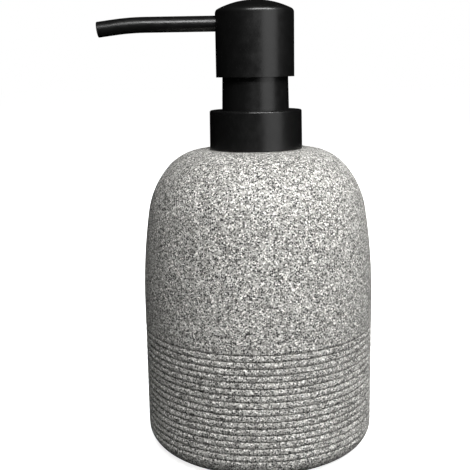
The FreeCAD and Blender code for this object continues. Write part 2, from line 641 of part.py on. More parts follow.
def makeInsert():
    """Hub with the stem's socket and flow channel, a disc pressed into the shell, and the spout's boss."""
    hubRadius = f"({guideBore} + hubWall)"
    socketTop = f"({stemTop} + socketEndGap)"
    disc = f"({headBore} - glueGap)"
    discTop = f"({discBottom} + discThickness)"
    insert = turned("head_insert", [
        (guideBore, hubBottom), (hubRadius, hubBottom), (hubRadius, discBottom), (disc, discBottom),
        (disc, discTop), (hubRadius, discTop), (hubRadius, hubTop), ("0", hubTop),
        ("0", socketTop), (guideBore, socketTop)])
    bossOutline = newSketch(insert, "boss_outline", "YZ_Plane")
    addCircle(bossOutline, "0", spoutHeight, f"{spoutHole} + bossWall")
    boss = insert.newObject("PartDesign::Pad", "spout_boss")
    boss.Profile = bossOutline
    boss.Reversed = True
    before = insert.Shape.Volume
    bossReach = f"({headBore} - bossInset)"
    boss.setExpression("Length", bound(bossReach))
    doc.recompute()
    if not insert.Shape.Volume > before + 10:
        raise ValueError("the spout boss is missing")

    channel = newSketch(insert, "flow_channel", "XY_Plane", socketTop)
    halfLength = "(channelLength / 2)"
    halfWidth = "(channelWidth / 2)"
    addOutline(channel, [(f"-{halfLength}", f"-{halfWidth}"), (halfLength, f"-{halfWidth}"),
                         (halfLength, halfWidth), (f"-{halfLength}", halfWidth)])
    before = insert.Shape.Volume
    slot = insert.newObject("PartDesign::Pocket", "flow_channel_cut")
    slot.Profile = channel
    slot.Reversed = True
    slot.setExpression("Length", bound(f"{spoutHeight} + {spoutBore} - {socketTop}"))
    doc.recompute()
    if not insert.Shape.Volume < before - 10:
        raise ValueError("the flow channel is missing")

    bore = newSketch(insert, "spout_socket", "YZ_Plane", f"-{bossReach}")
    addCircle(bore, "0", spoutHeight, spoutHole)
    cutThrough(insert, bore, "spout_socket_cut", f"2 * ({bossReach} - spoutInset)")
    outlet = newSketch(insert, "outlet_bore", "YZ_Plane", f"-{bossReach}")
    addCircle(outlet, "0", spoutHeight, spoutBore)
    cutThrough(insert, outlet, "outlet_bore_cut", f"2 * {bossReach}")
    return insert


def makeSpout():
    """Thin tube: straight out of the head, one gentle bend down, and a short straight end."""
    spout = newBody("spout_tube")
    turn = math.radians(number("spoutTurn"))
    height = number(spoutHeight)
    bend = number("spoutBend")
    end = number("spoutEnd")
    start = FreeCAD.Vector(-number("spoutInset"), height, 0)
    bendStart = FreeCAD.Vector(-number("spoutStraight"), height, 0)
    centre = (bendStart.x, height - bend)
    bendEnd = FreeCAD.Vector(centre[0] - bend * math.sin(turn), centre[1] + bend * math.cos(turn), 0)
    tip = bendEnd + FreeCAD.Vector(-math.cos(turn), -math.sin(turn), 0) * end

    path = newSketch(spout, "spout_path")
    path.addGeometry(Part.LineSegment(start, bendStart), False)
    path.addGeometry(arcAt(centre, bend, math.pi / 2, math.pi / 2 + turn), False)
    path.addGeometry(Part.LineSegment(bendEnd, tip), False)
    path.addConstraint(Sketcher.Constraint("Tangent", 0, 2, 1, 1))
    path.addConstraint(Sketcher.Constraint("Tangent", 1, 2, 2, 1))
    path.addConstraint(Sketcher.Constraint("Horizontal", 0))
    pin(path, 0, 1, "-spoutInset", spoutHeight)
    for kind, geometry, value, text in (("Radius", 1, bend, "spoutBend"), ("Distance", 2, end, "spoutEnd"),
                                        ("Angle", 1, turn, "spoutTurn * 1deg")):
        index = path.addConstraint(Sketcher.Constraint(kind, geometry, value))
        path.setExpression(f"Constraints[{index}]", bound(text))
    index = path.addConstraint(Sketcher.Constraint("DistanceX", 0, 2, -number("spoutStraight")))
    path.setExpression(f"Constraints[{index}]", bound("-spoutStraight"))

    ring = newSketch(spout, "spout_ring", "YZ_Plane", "-spoutInset")
    addCircle(ring, "0", spoutHeight, "spoutRadius")
    addCircle(ring, "0", spoutHeight, spoutBore)
    pipe = spout.newObject("PartDesign::AdditivePipe", "spout_pipe")
    pipe.Profile = ring
    pipe.Spine = (path, ["Edge1", "Edge2", "Edge3"])
    doc.recompute()
    length = number("spoutStraight - spoutInset + spoutEnd") + bend * turn
    area = math.pi * number(f"spoutRadius * spoutRadius - {spoutBore} * {spoutBore}")
    if abs(spout.Shape.Volume - area * length) > 0.02 * area * length:
        raise ValueError("the spout's volume is not its section times its length")

    names = []
    for index, edge in enumerate(spout.Shape.Edges, start=1):
        curve = edge.Curve
        if isinstance(curve, Part.Circle) and abs(curve.Radius - number("spoutRadius")) < 1e-3:
            if edge.CenterOfMass.x < tip.x + 0.5:
                names.append(f"Edge{index}")
    bevel = spout.newObject("PartDesign::Fillet", "spout_tip_round")
    bevel.Base = (pipe, names)
    bevel.setExpression("Radius", bound("spoutRound"))
    doc.recompute()
    return spout


def makeAll():
    pieces = [makeBottle()]
    pieces += makeFoot()
    pieces += makeNeck()
    pieces += makeCollar()
    pieces += [makeGasket(), makeHousing(), makeSleeve(), makeCage(), makeDipTube(), makeSpring()]
    pieces.append(makeBall("inlet_ball", "inletBallRadius", seatBottom, "seatHole"))
    pieces.append(makeStem())
    pieces += makePiston()
    pieces.append(makeBall("outlet_ball", "outletBallRadius", valveSeat, "valveHole"))
    pieces += [makeShell(), makeInsert(), makeSpout()]
    return pieces


def writePieces(pieces):
    """Check the whole document first, and only then write the files."""
    doc.recompute()
    for item in doc.Objects:
        if "Invalid" in item.State or "Error" in item.State:
            raise ValueError(f"{item.Label} failed: {item.State}")
    for piece in pieces:
        if piece.Shape.isNull() or not piece.Shape.isValid() or len(piece.Shape.Solids) != 1:
            raise ValueError(f"{piece.Label} is not one valid solid")
    os.makedirs("parts", exist_ok=True)
    for piece in pieces:
        piece.Shape.exportStep(os.path.join("parts", f"{piece.Label}.step"))
        print(f"{piece.Label}: {piece.Shape.Volume / 1000:.3f} cm3, top {piece.Shape.BoundBox.ZMax:.2f}")


writePieces(makeAll())
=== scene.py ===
import math

import bmesh
import bpy
from mathutils import Matrix, Vector


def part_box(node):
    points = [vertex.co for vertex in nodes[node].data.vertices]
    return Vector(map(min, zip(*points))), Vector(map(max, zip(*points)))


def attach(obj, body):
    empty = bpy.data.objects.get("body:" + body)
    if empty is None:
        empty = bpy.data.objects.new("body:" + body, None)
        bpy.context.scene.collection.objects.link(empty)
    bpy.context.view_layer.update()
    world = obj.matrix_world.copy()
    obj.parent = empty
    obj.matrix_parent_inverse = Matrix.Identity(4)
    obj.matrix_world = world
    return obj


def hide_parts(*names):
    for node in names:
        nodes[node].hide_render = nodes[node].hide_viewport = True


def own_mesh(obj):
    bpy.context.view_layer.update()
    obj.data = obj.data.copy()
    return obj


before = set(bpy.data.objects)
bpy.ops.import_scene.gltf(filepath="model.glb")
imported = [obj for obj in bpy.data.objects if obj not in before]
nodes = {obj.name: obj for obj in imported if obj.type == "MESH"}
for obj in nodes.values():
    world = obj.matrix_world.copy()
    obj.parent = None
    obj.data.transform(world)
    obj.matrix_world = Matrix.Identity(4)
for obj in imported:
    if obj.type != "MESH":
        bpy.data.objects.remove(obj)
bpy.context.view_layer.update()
mm = 0.001
creaseAngle = 35.0  # degrees, a sharper turn than this in a section stays crisp
weldReach = 0.000002  # metres, closes the seam and the poles of a turned piece


def linear(hexColour):
    # sRGB hex to the linear numbers that shader sockets take
    parts = [int(hexColour[i:i + 2], 16) / 255 for i in (1, 3, 5)]
    return tuple(p / 12.92 if p <= 0.04045 else ((p + 0.055) / 1.055) ** 2.4 for p in parts) + (1.0,)


def addNode(tree, kind, inputs=None, **settings):
    # adds a node, sets its properties, and fills its inputs with numbers or with links;
    # a whole node given as an input stands for its first output
    node = tree.nodes.new(kind)
    for name, value in settings.items():
        setattr(node, name, value)
    for key, value in (inputs or {}).items():
        source = value.outputs[0] if isinstance(value, bpy.types.Node) else value
        if isinstance(source, bpy.types.NodeSocket):
            tree.links.new(source, node.inputs[key])
        else:
            node.inputs[key].default_value = source
    return node


def newFinish(name, **values):
    # a material whose Principled shader starts from the given constant values
    finish = bpy.data.materials.new(name)
    finish.use_nodes = True
    tree = finish.node_tree
    shader = tree.nodes["Principled BSDF"]
    for key, value in values.items():
        shader.inputs[key.replace("_", " ")].default_value = value
    return finish, tree, shader


def setRamp(node, stops):
    # stops are (place, hex colour)
    ramp = node.color_ramp
    while len(ramp.elements) < len(stops):
        ramp.elements.new(0.5)
    for element, (place, colour) in zip(ramp.elements, stops):
        element.position = place
        element.color = linear(colour)


def perMetre(sizeInMm):
    # texture scale that makes one cell or one wave of noise this many mm across
    return 1000.0 / sizeInMm


# The stone look of the bottle

graniteLook = {
    "gritSize": 0.42,        # mm, one grain of the crushed stone filler
    "gritTones": [(0.0, "#2e2e2c"), (0.12, "#666562"), (0.4, "#8f8e8a"), (0.78, "#b5b4b0"),
                  (1.0, "#f7f6f1")],
    "micaSpacing": 0.69,     # mm between the black flakes
    "micaReach": 0.43,       # a flake's radius as a share of that spacing
    "micaSmall": 0.7,        # the smallest and the largest flake, as shares of micaReach
    "micaLarge": 1.2,
    "micaShare": 0.55,       # how many of the places hold a flake
    "micaTone": "#131312",
    "cloudSize": 9.0,        # mm, drifts of more and fewer flakes
    "cloudShift": 0.22,      # how much of the flakes' share the drifts take or give
    # painted shade: how far the colour in each groove's middle is darkened towards a dark tone, standing
    # in for shade
    "paintedGrooveShade": 0.28,
    "paintedGrooveShadeTone": "#2f2e2c",
    "reliefDepth": 0.06,     # mm
    "dryRoughness": 0.8,
    "micaRoughness": 0.5,
}


def makeGraniteResin(look):
    # polyester resin filled with crushed granite, cast and blasted back: dry and matt, white quartz
    # and grey feldspar grains peppered with black mica, a little relief, and painted shade in the grooves
    finish, tree, shader = newFinish("GraniteFilledResinCastBlasted", IOR=1.52,
                                     Roughness=look["dryRoughness"])
    place = addNode(tree, "ShaderNodeTexCoord").outputs["Object"]
    grit = addNode(tree, "ShaderNodeTexVoronoi", {"Vector": place, "Scale": perMetre(look["gritSize"])})
    mineral = addNode(tree, "ShaderNodeSeparateColor", {"Color": grit.outputs["Color"]})
    grains = addNode(tree, "ShaderNodeValToRGB", {"Fac": mineral.outputs["Red"]})
    setRamp(grains, look["gritTones"])

    # a flake of mica stands where a cell's chance falls under the drift's share
    mica = addNode(tree, "ShaderNodeTexVoronoi", {"Vector": place,
                                                  "Scale": perMetre(look["micaSpacing"])})
    chance = addNode(tree, "ShaderNodeSeparateColor", {"Color": mica.outputs["Color"]})
    cloud = addNode(tree, "ShaderNodeTexNoise", {"Vector": place, "Scale": perMetre(look["cloudSize"]),
                                                 "Detail": 3.0, "Roughness": 0.55})
    drift = addNode(tree, "ShaderNodeMapRange",
                    {"Value": cloud.outputs["Fac"], "From Min": 0.3, "From Max": 0.7,
                     "To Min": look["micaShare"] - look["cloudShift"] / 2,
                     "To Max": look["micaShare"] + look["cloudShift"] / 2})
    chosen = addNode(tree, "ShaderNodeMath", {0: chance.outputs["Red"], 1: drift},
                     operation="LESS_THAN")
    size = addNode(tree, "ShaderNodeMapRange", {"Value": chance.outputs["Green"],
                                                "To Min": look["micaReach"] * look["micaSmall"],
                                                "To Max": look["micaReach"] * look["micaLarge"]})
    inside = addNode(tree, "ShaderNodeMath", {0: mica.outputs["Distance"], 1: size},
                     operation="LESS_THAN")
    flake = addNode(tree, "ShaderNodeMath", {0: chosen, 1: inside}, operation="MULTIPLY")
    body = addNode(tree, "ShaderNodeMix", {0: flake, 6: grains, 7: linear(look["micaTone"])},
                   data_type="RGBA")

    # painted shade: the colour darkens towards a dark tone along each groove, where shade falls
    groove = addNode(tree, "ShaderNodeAttribute", attribute_name="groove")
    shade = addNode(tree, "ShaderNodeMath", {0: groove.outputs["Fac"], 1: look["paintedGrooveShade"]},
                    operation="MULTIPLY")
    colour = addNode(tree, "ShaderNodeMix", {0: shade, 6: body.outputs[2],
                                             7: linear(look["paintedGrooveShadeTone"])}, data_type="RGBA")
    tree.links.new(colour.outputs[2], shader.inputs["Base Color"])
    relief = addNode(tree, "ShaderNodeMath", {0: mineral.outputs["Green"], 1: flake},
                     operation="SUBTRACT")
    bump = addNode(tree, "ShaderNodeBump", {"Height": relief, "Strength": 0.5,
                                            "Distance": look["reliefDepth"] * mm})
    tree.links.new(bump.outputs["Normal"], shader.inputs["Normal"])
    # the flat faces of mica catch a little more light than the resin round them
    gloss = addNode(tree, "ShaderNodeMapRange", {"Value": flake, "To Min": look["dryRoughness"],
                                                 "To Max": look["micaRoughness"]})
    tree.links.new(gloss.outputs["Result"], shader.inputs["Roughness"])
    return finish


# The moulded and cut plastics. grain and relief are in mm, patches is the size in mm of the slow
# drifts in gloss, and the last two values are how far light goes into a milky plastic

mouldings = {
    # ABS from a spark-eroded tool: satin, so a softbox shows in it as a broad soft band. The real
    # erosion grain is 0.05 mm; it is drawn 0.35 mm so that it shows at all
    "black_abs": {"name": "BlackAbsSparkErodedMoulding", "tones": ("#0b0b0b", "#0f0f0f"),
                  "roughness": 0.33, "ior": 1.54, "grain": 0.35, "relief": 0.01},
    # PP shrinks more in its tool than ABS: a greyer black with a duller, slightly waxy skin
    "black_pp": {"name": "BlackPolypropyleneMoulding", "tones": ("#131313", "#191919"),
                 "roughness": 0.38, "ior": 1.49, "grain": 0.6, "relief": 0.01},
    # PP without pigment: milky grey-white, because light goes a little way in
    "natural_pp": {"name": "NaturalPolypropyleneMoulding", "tones": ("#c3c5c1", "#d0d2ce"),
                   "roughness": 0.32, "ior": 1.49, "grain": 1.2, "relief": 0.01,
                   "Subsurface_Weight": 0.35, "Subsurface_Scale": 0.002},
    # PE: whiter and softer than PP, with blurred highlights
    "white_pe": {"name": "WhitePolyethyleneMoulding", "tones": ("#e9e8e3", "#f1f0ec"),
                 "roughness": 0.42, "ior": 1.51, "grain": 1.0, "relief": 0.01,
                 "Subsurface_Weight": 0.25, "Subsurface_Scale": 0.0015},
    # rubber pressed in a hot mould: dry dark grey with no clear highlight
    "seal_rubber": {"name": "NitrileRubberCompressionMoulded", "tones": ("#1b1b1b", "#242424"),
                    "roughness": 0.7, "ior": 1.52, "grain": 0.4, "relief": 0.02},
    # closed-cell foam cut by a die: quite dull, and pitted by its cells
    "eva_foam": {"name": "EvaFoamDieCut", "tones": ("#1c1c1c", "#2b2b2b"),
                 "roughness": 0.85, "ior": 1.5, "grain": 0.7, "relief": 0.12, "patches": 6.0},
}


def makeMoulded(name, tones, roughness, ior, grain, relief, patches=3.0, spread=0.05, **inside):
    # one colour right through, the tool's fine grain as relief, and slow drifts in gloss
    # where the melt met the steel hotter or colder
    finish, tree, shader = newFinish(name, IOR=ior, Roughness=roughness, **inside)
    place = addNode(tree, "ShaderNodeTexCoord").outputs["Object"]
    grainNoise = addNode(tree, "ShaderNodeTexNoise", {"Vector": place, "Scale": perMetre(grain),
                                                      "Detail": 2.0})
    bump = addNode(tree, "ShaderNodeBump", {"Height": grainNoise.outputs["Fac"], "Strength": 0.35,
                                            "Distance": relief * mm})
    tree.links.new(bump.outputs["Normal"], shader.inputs["Normal"])
    flow = addNode(tree, "ShaderNodeTexNoise", {"Vector": place, "Scale": perMetre(patches),
                                                "Detail": 3.0})
    gloss = addNode(tree, "ShaderNodeMapRange", {"Value": flow.outputs["Fac"], "From Min": 0.3,
                                                 "From Max": 0.7, "To Min": roughness - spread,
                                                 "To Max": roughness + spread})
    tree.links.new(gloss.outputs["Result"], shader.inputs["Roughness"])
    tone = addNode(tree, "ShaderNodeValToRGB", {"Fac": grainNoise.outputs["Fac"]})
    setRamp(tone, [(0.3, tones[0]), (0.7, tones[1])])
    tree.links.new(tone.outputs["Color"], shader.inputs["Base Color"])
    return finish


steelLook = {"tones": ("#b9babc", "#d2d3d5"), "roughness": 0.22, "brightest": 0.16, "dullest": 0.32,
             "scuffSize": 0.8}


def makeSteel(look):
    # stainless spring wire and valve balls: a neutral bright metal, duller where it was scuffed
    finish, tree, shader = newFinish("StainlessSteelDrawnPolished", Metallic=1.0,
                                     Roughness=look["roughness"])
    place = addNode(tree, "ShaderNodeTexCoord").outputs["Object"]
    scuff = addNode(tree, "ShaderNodeTexNoise", {"Vector": place, "Scale": perMetre(look["scuffSize"]),
                                                 "Detail": 4.0})
    gloss = addNode(tree, "ShaderNodeMapRange", {"Value": scuff.outputs["Fac"], "From Min": 0.3,
                                                 "From Max": 0.7, "To Min": look["brightest"],
                                                 "To Max": look["dullest"]})
    tree.links.new(gloss.outputs["Result"], shader.inputs["Roughness"])
    tone = addNode(tree, "ShaderNodeValToRGB", {"Fac": scuff.outputs["Fac"]})
    setRamp(tone, [(0.3, look["tones"][0]), (0.7, look["tones"][1])])
    tree.links.new(tone.outputs["Color"], shader.inputs["Base Color"])
    return finish


def makeFinishes():
    finishes = {"stone_resin": makeGraniteResin(graniteLook)}
    for slot, look in mouldings.items():
        finishes[slot] = makeMoulded(**look)
    finishes["steel"] = makeSteel(steelLook)
    return finishes


# Node trees that make the pieces which follow a rule

def newGeometryTree(name, sockets):
    # sockets are (name, kind, starting value or None); every tree takes and gives a geometry
    tree = bpy.data.node_groups.new(name, "GeometryNodeTree")
    for label, kind, value in sockets:
        socket = tree.interface.new_socket(label, in_out="INPUT", socket_type="NodeSocket" + kind)
        if value is not None:
            socket.default_value = value
    tree.interface.new_socket("Geometry", in_out="OUTPUT", socket_type="NodeSocketGeometry")
    return tree, addNode(tree, "NodeGroupInput").outputs


def endTree(tree, shape, finish):
    real = addNode(tree, "GeometryNodeRealizeInstances", {"Geometry": shape})
    dressed = addNode(tree, "GeometryNodeSetMaterial", {"Geometry": real, "Material": finish})
    addNode(tree, "NodeGroupOutput", {"Geometry": dressed})


def makeTurningTree():
    # turns a section drawn in X and Z round the Z axis, and cuts a row of rib grooves in its skin
    tree, given = newGeometryTree("TurnedSection", (
        ("Geometry", "Geometry", None), ("Sides", "Int", 160), ("Groove Count", "Int", 0),
        ("Groove Pitch", "Float", 0.002), ("Lowest Groove", "Float", 0.0),
        ("Groove Depth", "Float", 0.0), ("Rib Fullness", "Float", 2.4), ("Wobble", "Float", 0.0),
        ("Wobble Length", "Float", 0.02), ("Finish", "Material", None)))

    # a unit grid: its X runs round the piece, its Y runs along the section
    count = addNode(tree, "GeometryNodeAttributeDomainSize", {"Geometry": given["Geometry"]})
    columns = addNode(tree, "ShaderNodeMath", {0: given["Sides"], 1: 1.0}, operation="ADD")
    grid = addNode(tree, "GeometryNodeMeshGrid", {"Size X": 1.0, "Size Y": 1.0,
                                                  "Vertices X": columns, "Vertices Y": count})
    where = addNode(tree, "GeometryNodeInputPosition")
    spot = addNode(tree, "ShaderNodeSeparateXYZ", {0: where})
    across = addNode(tree, "ShaderNodeMath", {0: spot.outputs["X"], 1: 0.5}, operation="ADD")
    angle = addNode(tree, "ShaderNodeMath", {0: across, 1: 2 * math.pi}, operation="MULTIPLY")
    along = addNode(tree, "ShaderNodeMath", {0: spot.outputs["Y"], 1: 0.5}, operation="ADD")
    last = addNode(tree, "ShaderNodeMath", {0: count, 1: 1.0}, operation="SUBTRACT")
    exact = addNode(tree, "ShaderNodeMath", {0: along, 1: last}, operation="MULTIPLY")
    row = addNode(tree, "ShaderNodeMath", {0: exact}, operation="ROUND")
    sampled = addNode(tree, "GeometryNodeSampleIndex", {"Geometry": given["Geometry"],
                                                        "Value": where.outputs[0], "Index": row},
                      data_type="FLOAT_VECTOR")
    skinName = addNode(tree, "GeometryNodeInputNamedAttribute", {"Name": "skin"}, data_type="FLOAT")
    skin = addNode(tree, "GeometryNodeSampleIndex", {"Geometry": given["Geometry"],
                                                     "Value": skinName, "Index": row})
    section = addNode(tree, "ShaderNodeSeparateXYZ", {0: sampled})

    # how near this height is to the middle of a groove: 1 in it, 0 on a rib's crest
    above = addNode(tree, "ShaderNodeMath", {0: section.outputs["Z"], 1: given["Lowest Groove"]},
                    operation="SUBTRACT")
    rise = addNode(tree, "ShaderNodeMath", {0: above, 1: given["Groove Pitch"]}, operation="DIVIDE")
    whole = addNode(tree, "ShaderNodeMath", {0: rise}, operation="ROUND")
    notBelow = addNode(tree, "ShaderNodeMath", {0: whole, 1: 0.0}, operation="MAXIMUM")
    highest = addNode(tree, "ShaderNodeMath", {0: given["Groove Count"], 1: 1.0}, operation="SUBTRACT")
    nearest = addNode(tree, "ShaderNodeMath", {0: notBelow, 1: highest}, operation="MINIMUM")
    away = addNode(tree, "ShaderNodeMath", {0: rise, 1: nearest}, operation="SUBTRACT")
    apart = addNode(tree, "ShaderNodeMath", {0: away}, operation="ABSOLUTE")
    apartTwice = addNode(tree, "ShaderNodeMath", {0: apart, 1: 2.0}, operation="MULTIPLY")
    within = addNode(tree, "ShaderNodeMath", {0: 1.0, 1: apartTwice}, operation="SUBTRACT")
    notOutside = addNode(tree, "ShaderNodeMath", {0: within, 1: 0.0}, operation="MAXIMUM")
    near = addNode(tree, "ShaderNodeMath", {0: notOutside, 1: skin}, operation="MULTIPLY")

    # the rib between two grooves is a full round, so it falls away slowly and then all at once
    fall = addNode(tree, "ShaderNodeMath", {0: near, 1: given["Rib Fullness"]}, operation="POWER")
    left = addNode(tree, "ShaderNodeMath", {0: 1.0, 1: fall}, operation="SUBTRACT")
    safe = addNode(tree, "ShaderNodeMath", {0: left, 1: 0.0}, operation="MAXIMUM")
    bend = addNode(tree, "ShaderNodeMath", {0: safe}, operation="SQRT")
    depth = addNode(tree, "ShaderNodeMath", {0: 1.0, 1: bend}, operation="SUBTRACT")

    cosine = addNode(tree, "ShaderNodeMath", {0: angle}, operation="COSINE")
    sine = addNode(tree, "ShaderNodeMath", {0: angle}, operation="SINE")
    around = addNode(tree, "ShaderNodeCombineXYZ", {"X": cosine, "Y": sine, "Z": 0.0})
    level = addNode(tree, "ShaderNodeCombineXYZ", {"X": 0.0, "Y": 0.0, "Z": section.outputs["Z"]})
    reach = addNode(tree, "ShaderNodeVectorMath", {0: around, "Scale": section.outputs["X"]},
                    operation="SCALE")
    turned = addNode(tree, "ShaderNodeVectorMath", {0: reach, 1: level}, operation="ADD")

    # hand-finished grooves wander a little in depth
    waves = addNode(tree, "ShaderNodeMath", {0: 1.0, 1: given["Wobble Length"]}, operation="DIVIDE")
    noise = addNode(tree, "ShaderNodeTexNoise", {"Vector": turned, "Detail": 2.0, "Scale": waves})
    evened = addNode(tree, "ShaderNodeMath", {0: noise, 1: 0.5}, operation="SUBTRACT")
    uneven = addNode(tree, "ShaderNodeMath", {0: evened, 1: given["Wobble"]}, operation="MULTIPLY")
    wander = addNode(tree, "ShaderNodeMath", {0: uneven, 1: near}, operation="MULTIPLY")
    cut = addNode(tree, "ShaderNodeMath", {0: depth, 1: given["Groove Depth"]}, operation="MULTIPLY")
    drop = addNode(tree, "ShaderNodeMath", {0: wander, 1: cut}, operation="SUBTRACT")
    out = addNode(tree, "ShaderNodeVectorMath", {0: around, "Scale": drop}, operation="SCALE")
    place = addNode(tree, "ShaderNodeVectorMath", {0: turned, 1: out}, operation="ADD")

    named = addNode(tree, "GeometryNodeStoreNamedAttribute",
                    {"Geometry": grid.outputs["Mesh"], "Name": "groove", "Value": depth},
                    data_type="FLOAT", domain="POINT")
    shaped = addNode(tree, "GeometryNodeSetPosition", {"Geometry": named, "Position": place})
    closed = addNode(tree, "GeometryNodeMergeByDistance", {"Geometry": shaped, "Distance": weldReach})
    endTree(tree, closed, given["Finish"])
    return tree


def makeCoilTree():
    # drawn wire wound on a cylinder, with its two ends cut square
    tree, given = newGeometryTree("CoiledWire", (
        ("Geometry", "Geometry", None), ("Turns", "Float", None), ("Coil Radius", "Float", None),
        ("Rise", "Float", None), ("Wire Radius", "Float", None), ("Wire Sides", "Int", None),
        ("Steps Per Turn", "Int", None), ("Finish", "Material", None)))
    coil = addNode(tree, "GeometryNodeCurveSpiral",
                   {"Resolution": given["Steps Per Turn"], "Rotations": given["Turns"],
                    "Start Radius": given["Coil Radius"], "End Radius": given["Coil Radius"],
                    "Height": given["Rise"]})
    rim = addNode(tree, "GeometryNodeCurvePrimitiveCircle", {"Resolution": given["Wire Sides"],
                                                             "Radius": given["Wire Radius"]})
    wire = addNode(tree, "GeometryNodeCurveToMesh", {"Curve": coil, "Profile Curve": rim,
                                                     "Fill Caps": True})
    endTree(tree, wire, given["Finish"])
    return tree


def growMesh(name, start, tree, values):
    # runs a node tree on a starting mesh and keeps what comes out as a plain mesh
    maker = bpy.data.objects.new(name + "Maker", start)
    bpy.context.scene.collection.objects.link(maker)
    growing = maker.modifiers.new("Growing", "NODES")
    growing.node_group = tree
    ids = {item.name: item.identifier for item in tree.interface.items_tree if item.in_out == "INPUT"}
    for key, value in values.items():
        growing[ids[key]] = value
    bpy.context.view_layer.update()
    mesh = bpy.data.meshes.new_from_object(maker.evaluated_get(bpy.context.evaluated_depsgraph_get()))
    maker.modifiers.clear()
    bpy.data.objects.remove(maker)
    mesh.name = name
    shell = bmesh.new()
    shell.from_mesh(mesh)
    if shell.calc_volume(signed=True) < 0:  # turned inside out
        bmesh.ops.reverse_faces(shell, faces=shell.faces)
    for face in shell.faces:
        face.smooth = True
    shell.to_mesh(mesh)
    shell.free()
    return mesh


def turnPiece(name, section, tree, finish, values):
    # section is a list of (radius, height, skin) in mm; the last point joins the first
    chain = bpy.data.meshes.new(name + "Section")
    points = section + section[:1]
    chain.from_pydata([(r * mm, 0.0, z * mm) for r, z, _ in points],
                      [(i, i + 1) for i in range(len(points) - 1)], [])
    skin = chain.attributes.new("skin", "FLOAT", "POINT")
    for item, (_, _, amount) in zip(skin.data, points):
        item.value = amount
    solid = growMesh(name, chain, tree, {**values, "Finish": finish})
    solid.set_sharp_from_angle(angle=math.radians(creaseAngle))
    piece = bpy.data.objects.new(name, solid)
    bpy.context.scene.collection.objects.link(piece)
    return piece


def arcPoints(centre, radius, start, end, steps, skin):
    # points on an arc in the section, angles in degrees
    turns = [math.radians(start + (end - start) * i / steps) for i in range(steps + 1)]
    return [(centre[0] + radius * math.cos(t), centre[1] + radius * math.sin(t), skin) for t in turns]


def linePoints(start, end, steps, skin):
    # points on a straight run, without the one it starts from
    return [(start[0] + (end[0] - start[0]) * i / steps, start[1] + (end[1] - start[1]) * i / steps, skin)
            for i in range(1, steps + 1)]


# Sizes in mm and degrees: the side, the shoulder and the crown are three arcs that run into each other

bottle = {
    "radius": 42.6, "height": 111.7, "foot": 0.6, "footRound": 8.0, "sideTop": 56.0, "wall": 4.0,
    "sideArc": 216.0, "sideTurn": 9.0, "shoulderArc": 31.0, "shoulderTurn": 33.5,
    "floor": 6.6, "mouth": 13.4, "mouthRound": 0.6, "throat": 17.4, "throatBottom": 101.7,
    "padRecess": 31.0, "recessTop": 1.6, "ledge": 27.65, "ledgeTop": 3.1, "hole": 26.05,
    "grooves": 17, "groovePitch": 2.38, "lowestGroove": 8.1, "grooveDepth": 0.68, "ribFullness": 2.1,
    "wobble": 0.12, "wobbleLength": 14.0,
    # how finely it is drawn
    "sides": 168, "rowsPerRib": 12, "footSteps": 14, "uprightSteps": 6, "innerUprightSteps": 8,
    "sideSteps": 16, "shoulderSteps": 14, "crownSteps": 18, "lipSteps": 5, "flatSteps": 4,
}


def flankPoints(size, inset, footRound, low, high, skin):
    # foot round, upright side, then side, shoulder and crown up to the level top
    radius = size["radius"] - inset
    sideArc = size["sideArc"] - inset
    shoulderArc = size["shoulderArc"] - inset
    lean = size["sideTurn"]
    over = lean + size["shoulderTurn"]
    sideCentre = (radius - sideArc, size["sideTop"])
    leanTurn, overTurn = math.radians(lean), math.radians(over)
    shoulderCentre = (sideCentre[0] + (sideArc - shoulderArc) * math.cos(leanTurn),
                      sideCentre[1] + (sideArc - shoulderArc) * math.sin(leanTurn))
    crownStart = (shoulderCentre[0] + shoulderArc * math.cos(overTurn),
                  shoulderCentre[1] + shoulderArc * math.sin(overTurn))
    crownArc = (high - crownStart[1]) / (1 - math.sin(overTurn))
    crownCentre = (crownStart[0] - crownArc * math.cos(overTurn), high - crownArc)
    rise = low + footRound  # where the foot round meets the upright side
    footCentre = (radius - footRound, rise)
    if skin:
        # rows fall on each groove's middle and each crest; the lowest ones are on the foot round
        first = size["lowestGroove"] - size["groovePitch"] / 2
        step = size["groovePitch"] / size["rowsPerRib"]
        turn = -math.degrees(math.asin((rise - first) / footRound))
        points = arcPoints(footCentre, footRound, -90, turn, size["footSteps"], skin)
        for i in range(1, size["grooves"] * size["rowsPerRib"] + 1):
            below = max(rise - first - step * i, 0.0)
            points.append((footCentre[0] + math.sqrt(footRound ** 2 - below ** 2), first + step * i, skin))
        points += linePoints(points[-1], (radius, size["sideTop"]), size["uprightSteps"], skin)
    else:
        points = arcPoints(footCentre, footRound, -90, 0, size["footSteps"], skin)
        points += linePoints((radius, rise), (radius, size["sideTop"]), size["innerUprightSteps"], skin)
    points += arcPoints(sideCentre, sideArc, 0, lean, size["sideSteps"], skin)[1:]
    points += arcPoints(shoulderCentre, shoulderArc, lean, over, size["shoulderSteps"], skin)[1:]
    points += arcPoints(crownCentre, crownArc, over, 90, size["crownSteps"], skin)[1:]
    return points


